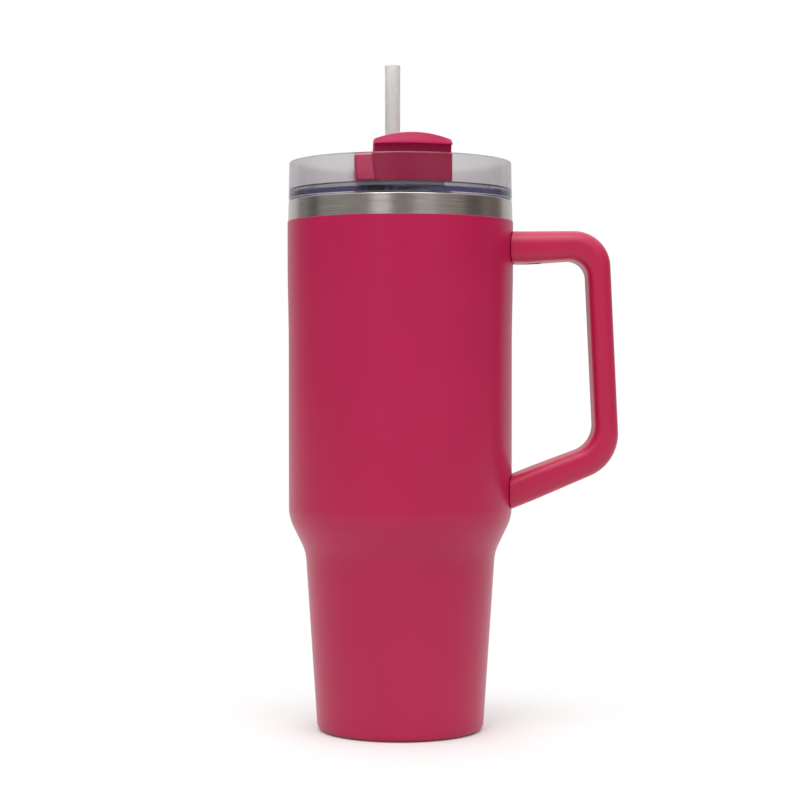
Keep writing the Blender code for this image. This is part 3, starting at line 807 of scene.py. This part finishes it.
def cover_outline():
    """Plan of the cover without its wing: a bar with a curved straw slot and a recessed front."""
    half = STRAW_R + STRAW_SLOT_CLEAR
    side = math.degrees(math.asin(COVER_HALF / COVER_R))
    recess = math.degrees(math.asin(COVER_HALF / RECESS_R))
    slot_outer, slot_inner = STRAW_PLACE_R + half, STRAW_PLACE_R - half
    outer_exit = 90 + math.degrees(math.asin(COVER_HALF / slot_outer))
    inner_exit = 90 + math.degrees(math.asin(COVER_HALF / slot_inner))
    straw_angle = math.degrees(math.atan2(STRAW_Y, STRAW_X)) - COVER_TURN
    straw_place = arc(STRAW_PLACE_R, straw_angle, straw_angle, 1)[0]
    corners = edge_arc(COVER_R, 90 - side, 90 + side, 30, 2.0, 2.0)
    corners += edge_arc(slot_outer, outer_exit, straw_angle + 2, 20, 1.2, 0)
    corners += [(x, y, 0) for x, y in arc(half, straw_angle, straw_angle - 180, 16, straw_place)]
    corners += edge_arc(slot_inner, straw_angle + 2, inner_exit, 20, 0, 1.2)
    corners += edge_arc(RECESS_R, 270 - recess, 270 + recess, 30, 1.2, 1.2)
    return rounded(corners, 6)


def inset_outline(outline, distance):
    """Move a closed outline inwards along its corners' normals."""
    result = []
    count = len(outline)
    for index, point in enumerate(outline):
        here = Vector(point)
        before = (here - Vector(outline[index - 1])).normalized()
        after = (Vector(outline[(index + 1) % count]) - here).normalized()
        normal_a = Vector((-before.y, before.x))
        normal_b = Vector((-after.y, after.x))
        mean = (normal_a + normal_b).normalized()
        stretch = 1 / max(0.5, mean.dot(normal_a))
        result.append(tuple(here + mean * distance * stretch))
    return result


def filleted_prism(outline, low, high, fillet_low, fillet_high):
    """Extrude a closed outline with rounded lower and upper edges."""
    levels = [(low + behind, inset) for inset, behind in quarter_round(fillet_low, 5)]
    levels += [(high - behind, inset) for behind, inset in quarter_round(fillet_high, 5)]
    sections = []
    for z, inset in levels:
        sections.append([(x, y, z) for x, y in inset_outline(outline, inset)])
    return loft(sections)


def wing_section(x, inset=0.0):
    """Section across the wing beside the tab, whose front leans back."""
    front = -math.sqrt(COVER_R ** 2 - x ** 2) + inset
    low, high = COVER_LOW_Z + 0.05 + inset, COVER_TOP_Z - 0.05 - inset
    reach = (-x - COVER_HALF) / (WING_X - COVER_HALF)
    back = WING_BACK_Y + (WING_TIP_Y - WING_BACK_Y) * max(0.0, reach) - inset
    least_top = 1.5
    lean = min(WING_LEAN, back - front - least_top)
    corners = [(front, low, 0.5), (front + lean, high, 0.5), (back, high, 0.5), (back, low, 0.5)]
    return [(x, y, z) for y, z in rounded(corners, 5)]


def wing():
    """The wing, with a rounded outer end."""
    inner, outer = 0.15 - COVER_HALF, -WING_X
    sections = []
    for share in (0, 0.25, 0.5, 0.75, 1):
        sections.append(wing_section(inner + (outer + WING_CORNER - inner) * share))
    for behind, inset in quarter_round(WING_CORNER, 8, 1, 84):
        sections.append(wing_section(outer + behind, inset))
    return loft(sections)


def tab_section(x, inset=0.0):
    """Section of the thumb tab from front to back, at a distance from its middle, set inwards."""
    crest = TAB_CREST_Z - (TAB_CREST_Z - TAB_CORNER_Z) * (x / COVER_HALF) ** 2 - inset
    lip = TAB_LIP_Z + inset / 3
    thick = crest - lip
    size = thick / (TAB_CREST_Z - TAB_LIP_Z)
    front = -math.sqrt(COVER_R ** 2 - x ** 2) + inset / 2
    recess = -math.sqrt(RECESS_R ** 2 - x ** 2) + 0.3
    low = COVER_TOP_Z - 2
    corners = [(recess, low, 0), (recess, lip - 0.2, 0.5), (front, lip, 0.35 * size)]
    corners.append((front + 0.5 * size, lip + 0.24 * thick, 1.5 * size))
    corners.append((front + 2.4, crest - 0.08 * thick, 0.8 * size))
    corners.append((front + 4.6, crest, 1.6 * size))
    corners.append((front + 6.6, crest - 0.31 * thick, 1.5 * size))
    back = -30.0
    corners += [(back - 3.5, COVER_TOP_Z + 0.6, 1.0), (back - 0.5, COVER_TOP_Z - 0.3, 0), (back, low, 0)]
    return [(x, y, z) for y, z in rounded(corners, 5)]


def tab():
    """The thumb tab, with rounded ends."""
    half = COVER_HALF - 0.05
    ends = quarter_round(TAB_END, 5)
    sections = [tab_section(-half + behind, inset) for behind, inset in ends[::-1]]
    for step in range(1, TAB_STEPS):
        sections.append(tab_section((half - TAB_END) * (2 * step / TAB_STEPS - 1)))
    sections += [tab_section(half - behind, inset) for behind, inset in ends]
    return loft(sections)


def cover(look):
    """Cover with its wing, tab, straw slot, pin hole, ring recess and seal pocket."""
    base = moved(filleted_prism(cover_outline(), COVER_LOW_Z, COVER_TOP_Z, 0.5, 0.7), cover_frame())
    piece = new_piece("turning_cover", base, look, "cover", ["rotating_cover"])
    combine(piece, moved(wing(), cover_frame()), "UNION")
    combine(piece, moved(tab(), cover_frame()), "UNION")
    low, top, bore_r = COVER_LOW_Z - 2, COVER_TOP_Z - 2.6, PIN_R + GAP
    ring_r, ring_z = RING_HIGH.x + GAP, RING_HIGH.z + GAP
    bore = [(0, low), (ring_r, low), (ring_r, ring_z), (bore_r, ring_z), (bore_r, top), (0, top)]
    combine(piece, turned(bore, SMALL_SIDES))
    pocket = prism(sector(*SEAL_POCKET, 24, SEAL_CORNER), low, COVER_LOW.z + 3.2)
    combine(piece, moved(pocket, cover_frame()))


def seal_pad(look):
    """Silicone pad under the cover that closes the sip opening."""
    outline = sector(*SEAL_PAD, 24, SEAL_CORNER)
    mesh = moved(filleted_prism(outline, SEAL_LOW.z, SEAL_HIGH.z, 0.4, 0.2), cover_frame())
    new_piece("seal_pad", mesh, look, "cover", ["sip_seal"])


def pivot_pin(look):
    """Headed pin that the cover turns on."""
    low = PIN_LOW.z
    head_z = FLOOR_UNDER_Z - GAP
    corners = [(0, low, 0), (PIN_HEAD_R, low, 0.5), (PIN_HEAD_R, head_z, 0.2), (PIN_R, head_z, 0)]
    corners += [(PIN_R, PIN_HIGH.z, 0.6), (0, PIN_HIGH.z, 0)]
    mesh = turned(rounded(corners, 4), SMALL_SIDES)
    new_piece("pivot_pin", mesh, look, "cover", ["cover_pivot_pin"])


def pivot_ring(look):
    """O-ring round the pin."""
    thick = (RING_HIGH.z - RING_LOW.z) / 2
    middle_r = RING_HIGH.x - thick
    profile = arc(thick, 0, 360, 20, (middle_r, RING_LOW.z + thick))[:-1]
    new_piece("pivot_ring", turned(profile, SMALL_SIDES), look, "cover", ["pivot_oring"])


def build():
    """Make every visible piece, and dress the CAD nodes that stay."""
    coat = powder_coat()
    grip = pink_plastic("pink_plastic_handle", (0.455, 0.006, 0.058), (0.485, 0.0072, 0.065), 0.45)
    plastic = pink_plastic("pink_plastic_cover", (0.39, 0.0040, 0.062), (0.42, 0.0050, 0.070), 0.22)
    rings = brushed_steel("brushed_steel_rings")
    circles = brushed_steel("brushed_steel_circles", around=False)
    clear = clear_plastic()
    rubber = dark_rubber()
    milky = silicone()
    paint_coat(coat)
    steel_shell(rings)
    liner(rings)
    base_plate(circles)
    handle(grip)
    screw_plug("plug_upper", UPPER_ARM, rubber, "upper_screw_plug")
    screw_plug("plug_lower", LOWER_ARM, rubber, "lower_screw_plug")
    lid(clear)
    gasket(milky)
    grommet(milky)
    straw(straw_plastic())
    cover(plastic)
    seal_pad(milky)
    pivot_pin(circles)
    pivot_ring(milky)
    grey = grey_metal()
    kept = {
        "liner_foil": copper_foil(),
        "outer_base": circles,
        "vacuum_seal": grey,
        "getter": grey,
        "upper_handle_bracket": rings,
        "lower_handle_bracket": rings,
        "upper_handle_screw": rings,
        "lower_handle_screw": rings,
    }
    for node, look in kept.items():
        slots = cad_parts[node].data.materials
        slots.clear()
        slots.append(look)


# Studio ------------------------------------------------------------------

# Light of the surroundings round the object: azimuth in degrees from the camera's side, and colour
WORLD_ROUND = [
    (-180, (0.75, 0.75, 0.75)), (-140, (0.66, 0.655, 0.65)), (-131, (0.52, 0.51, 0.50)),
    (-126, (0.26, 0.245, 0.235)), (-112, (0.24, 0.225, 0.215)), (-106, (0.12, 0.105, 0.095)),
    (-94, (0.085, 0.07, 0.058)), (-91, (0.23, 0.22, 0.20)), (-84, (0.26, 0.245, 0.225)),
    (-60, (0.27, 0.265, 0.245)), (-48, (0.23, 0.21, 0.19)), (-38, (0.20, 0.18, 0.17)),
    (-14, (0.22, 0.21, 0.20)), (-5, (0.13, 0.12, 0.115)), (8, (0.15, 0.14, 0.135)),
    (15, (0.20, 0.185, 0.18)), (40, (0.29, 0.255, 0.235)), (66, (0.23, 0.17, 0.15)),
    (74, (0.065, 0.045, 0.036)), (91, (0.075, 0.052, 0.042)), (96, (0.20, 0.17, 0.155)),
    (104, (0.15, 0.12, 0.11)), (118, (0.17, 0.125, 0.115)), (125, (0.26, 0.22, 0.205)),
    (130, (0.54, 0.52, 0.51)), (142, (0.62, 0.61, 0.60)), (180, (0.75, 0.75, 0.75)),
]
# Extra light from above: sines of the elevations where a smooth step starts and ends, and its strength
WORLD_ABOVE = (0.25, 0.8, 1.0)
# Softboxes: name, azimuth and elevation in degrees, distance, width and height in metres, radiance
SOFTBOXES = [
    ("streak_left", -19.5, 30, 1.6, 0.50, 0.8, 2.0),
    ("streak_right", 25, 30, 1.6, 0.60, 0.8, 0.9),
    ("overhead", 0, 70, 1.6, 1.4, 0.9, 3.4),
]
LIGHT_TARGET = Vector((0, 0, 0.15))
# Floor, in metres
FLOOR_R = 3.0
FLOOR_FADE = (0.03, 0.145)      # distances from the axis where the floor starts and ends turning white
# Camera: focal length and sensor width in millimetres, place in metres, and tilt
LENS = 90.4
SENSOR = 36.0
EYE = (-0.00013, -0.884, 0.156)
EYE_DOWN = 0.73                 # degrees


def floor():
    """Round pale floor that turns into the white of the background away from the object."""
    mesh = bmesh.new()
    bmesh.ops.create_circle(mesh, cap_ends=True, segments=96, radius=FLOOR_R)
    data = bpy.data.meshes.new("floor")
    mesh.to_mesh(data)
    mesh.free()
    piece = bpy.data.objects.new("floor", data)
    bpy.context.scene.collection.objects.link(piece)
    look = Look("floor_white")
    look.set(base_color=(0.80, 0.80, 0.80, 1.0), roughness=0.9, specular_ior_level=0.2)
    distance = look.add("ShaderNodeVectorMath", operation="LENGTH")
    look.links.new(look.place, distance.inputs[0])
    glow = look.add("ShaderNodeEmission")
    fade = look.range(distance.outputs["Value"], *FLOOR_FADE, 0.0, 1.0)
    look.mix_surface(fade, glow.outputs["Emission"])
    data.materials.append(look.material)


def softbox(name, azimuth, elevation, distance, width, height, radiance):
    """Area light that aims at the middle of the tumbler. Azimuth 0 is the camera's side."""
    light = bpy.data.lights.new(name, "AREA")
    light.shape = "RECTANGLE"
    light.size = width
    light.size_y = height
    light.energy = radiance * math.pi * width * height
    lamp = bpy.data.objects.new(name, light)
    bpy.context.scene.collection.objects.link(lamp)
    turn, lift = math.radians(azimuth), math.radians(elevation)
    away = Vector((math.sin(turn) * math.cos(lift), -math.cos(turn) * math.cos(lift), math.sin(lift)))
    lamp.location = LIGHT_TARGET + away * distance
    lamp.rotation_euler = (-away).to_track_quat("-Z", "Y").to_euler()
    lamp.visible_camera = False


def light_round(nodes, links, x, y):
    """Return the colour of the surroundings, which depends on the direction round the object."""
    front = add_node(nodes, "ShaderNodeMath", operation="MULTIPLY")
    front.inputs[1].default_value = -1.0
    links.new(y, front.inputs[0])
    turn = add_node(nodes, "ShaderNodeMath", operation="ARCTAN2")
    links.new(x, turn.inputs[0])
    links.new(front.outputs[0], turn.inputs[1])
    share = add_node(nodes, "ShaderNodeMapRange")
    share.inputs["From Min"].default_value = -math.pi
    share.inputs["From Max"].default_value = math.pi
    links.new(turn.outputs[0], share.inputs["Value"])
    ramp = add_node(nodes, "ShaderNodeValToRGB")
    elements = ramp.color_ramp.elements
    elements[0].color = elements[1].color = (*WORLD_ROUND[0][1], 1.0)
    for azimuth, colour in WORLD_ROUND[1:-1]:
        elements.new(azimuth / 360 + 0.5).color = (*colour, 1.0)
    links.new(share.outputs["Result"], ramp.inputs["Fac"])
    return ramp.outputs["Color"]


def light_above(nodes, links, z):
    """Return the extra light of the surroundings from above."""
    start, end, strength = WORLD_ABOVE
    above = add_node(nodes, "ShaderNodeMapRange", interpolation_type="SMOOTHSTEP")
    links.new(z, above.inputs["Value"])
    for key, number in zip(RANGE_SOCKETS, (start, end, 0.0, strength)):
        above.inputs[key].default_value = number
    return above.outputs["Result"]


def studio():
    """Surroundings that light the object and look white to the camera, and soft lights."""
    world = bpy.data.worlds.new("studio")
    bpy.context.scene.world = world
    world.use_nodes = True
    nodes, links = world.node_tree.nodes, world.node_tree.links
    place = add_node(nodes, "ShaderNodeTexCoord")
    parts = add_node(nodes, "ShaderNodeSeparateXYZ")
    links.new(place.outputs["Generated"], parts.inputs[0])
    x, y, z = parts.outputs
    total = add_node(nodes, "ShaderNodeVectorMath")
    links.new(light_round(nodes, links, x, y), total.inputs[0])
    links.new(light_above(nodes, links, z), total.inputs[1])
    path = add_node(nodes, "ShaderNodeLightPath")
    mix = add_node(nodes, "ShaderNodeMix", data_type="RGBA")
    links.new(path.outputs["Is Camera Ray"], mix.inputs["Factor"])
    links.new(total.outputs[0], mix.inputs["A"])
    mix.inputs["B"].default_value = (1.0, 1.0, 1.0, 1.0)
    links.new(mix.outputs["Result"], nodes["Background"].inputs["Color"])
    for name, *values in SOFTBOXES:
        softbox(name, *values)


def camera():
    """Long lens near the height of the tumbler's middle, looking slightly down."""
    data = bpy.data.cameras.new("camera")
    data.lens = LENS
    data.sensor_width = SENSOR
    eye = bpy.data.objects.new("camera", data)
    eye.location = EYE
    eye.rotation_euler = (math.radians(90 - EYE_DOWN), 0, 0)
    bpy.context.scene.collection.objects.link(eye)
    bpy.context.scene.camera = eye


build()
floor()
studio()
camera()
bpy.context.scene.view_settings.view_transform = "Standard"
